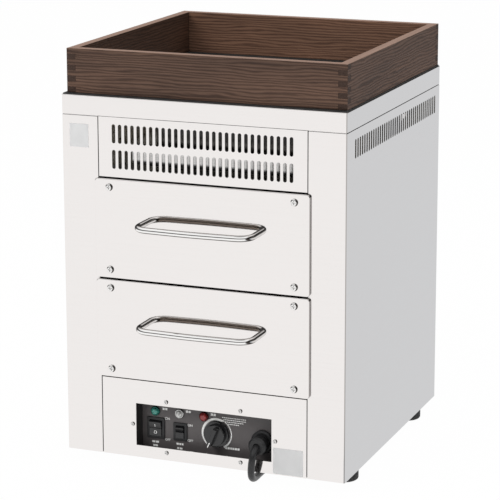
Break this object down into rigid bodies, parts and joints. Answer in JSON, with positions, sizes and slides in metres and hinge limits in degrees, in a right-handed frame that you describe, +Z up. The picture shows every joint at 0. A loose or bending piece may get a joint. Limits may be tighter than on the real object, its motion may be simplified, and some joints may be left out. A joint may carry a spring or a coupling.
{
  "type": "electric fish roaster",
  "caption": "Free-standing electric drawer roaster: steel cabinet, two pull-out roasting drawers, recessed control panel and a wooden keep-warm frame on top",
  "frame": {"origin": "floor centre under the cabinet and its handles, cord left out", "axes": "+Z up, +X to the right seen from the front, the drawers face -Y"},
  "size_m": [0.38, 0.6097, 0.54],
  "materials": {
    "steel": "satin, near mirror",
    "inner_steel": "plain mill finish",
    "bright_steel": "polished",
    "black_steel": "matte black",
    "grey_plate": "satin dark grey",
    "black_plastic": "fine matte",
    "gloss_black": "gloss",
    "green_lens": "translucent gloss",
    "clear_lens": "translucent gloss",
    "red_lens": "translucent gloss",
    "dark_wood": "scorched and oiled, open grain",
    "black_rubber": "matte",
    "insulation_wool": "ceramic wool board",
    "blank_label": "satin film, left blank"
  },
  "bodies": {
    "cabinet": {"back_panel": "steel", "back_screws": "bright_steel", "base_plate": "inner_steel", "chamber_back": "inner_steel", "chamber_floor": "inner_steel", "chamber_left": "inner_steel", "chamber_right": "inner_steel", "chamber_roof": "inner_steel", "control_box": "black_steel", "control_plate": "grey_plate", "cord_coil": "black_rubber", "cord_gland": "black_plastic", "cord_tie": "black_plastic", "drawer_rails": "inner_steel", "fan_motor": "black_plastic", "fan_switch": "black_plastic", "fascia": "steel", "fascia_screws": "bright_steel", "feet": "black_rubber", "foot_screws": "bright_steel", "heater_lower": "bright_steel", "heater_middle": "bright_steel", "heater_upper": "bright_steel", "insulation": "insulation_wool", "lamp_bezels": "bright_steel", "lamp_clear": "clear_lens", "lamp_green": "green_lens", "lamp_red": "red_lens", "mid_shelf": "inner_steel", "name_plates": "blank_label", "plug": "black_plastic", "power_cord": "black_rubber", "power_switch": "black_plastic", "side_panel_left": "steel", "side_panel_right": "steel", "terminal_block": "black_plastic", "timer_body": "black_plastic", "top_cap": "steel", "top_gasket": "black_rubber", "vent_duct": "inner_steel", "vent_panel": "steel"},
    "drawer_upper": {"upper_drawer_front": "steel", "upper_drawer_box": "inner_steel", "upper_drawer_rack": "bright_steel", "upper_handle": "bright_steel", "upper_drawer_screws": "bright_steel"},
    "drawer_lower": {"lower_drawer_front": "steel", "lower_drawer_box": "inner_steel", "lower_drawer_rack": "bright_steel", "lower_handle": "bright_steel", "lower_drawer_screws": "bright_steel"},
    "power_key": {"power_rocker": "gloss_black"},
    "fan_key": {"fan_rocker": "gloss_black"},
    "knob": {"timer_knob": "gloss_black"},
    "rotor": {"fan_rotor": "bright_steel"},
    "wood_frame": {"wood_front": "dark_wood", "wood_back": "dark_wood", "wood_left": "dark_wood", "wood_right": "dark_wood"},
    "tray": {"warming_tray": "inner_steel"}
  },
  "joints": [
    {"name": "upper_drawer_slide", "type": "slide", "parent": "cabinet", "child": "drawer_upper", "axis": [0, -1, 0], "range_m": [0, 0.26]},
    {"name": "lower_drawer_slide", "type": "slide", "parent": "cabinet", "child": "drawer_lower", "axis": [0, -1, 0], "range_m": [0, 0.26]},
    {"name": "power_rocker_hinge", "type": "hinge", "parent": "cabinet", "child": "power_key", "pos_m": [-0.0736, -0.1506, 0.0509], "axis": [-1, 0, 0], "range_deg": [0, 16]},
    {"name": "fan_rocker_hinge", "type": "hinge", "parent": "cabinet", "child": "fan_key", "pos_m": [-0.0397, -0.1506, 0.0492], "axis": [-1, 0, 0], "range_deg": [0, 16]},
    {"name": "timer_knob_turn", "type": "hinge", "parent": "cabinet", "child": "knob", "pos_m": [0.0105, -0.1516, 0.0524], "axis": [0, 1, 0], "range_deg": [0, 290]},
    {"name": "fan_rotor_spin", "type": "hinge", "parent": "cabinet", "child": "rotor", "pos_m": [0, 0.1484, 0.24975], "axis": [0, 1, 0], "continuous": true},
    {"name": "wood_frame_lift", "type": "slide", "parent": "cabinet", "child": "wood_frame", "axis": [0, 0, 1], "range_m": [0, 0.25]},
    {"name": "warming_tray_lift", "type": "slide", "parent": "cabinet", "child": "tray", "axis": [0, 0, 1], "range_m": [0, 0.25]}
  ]
}
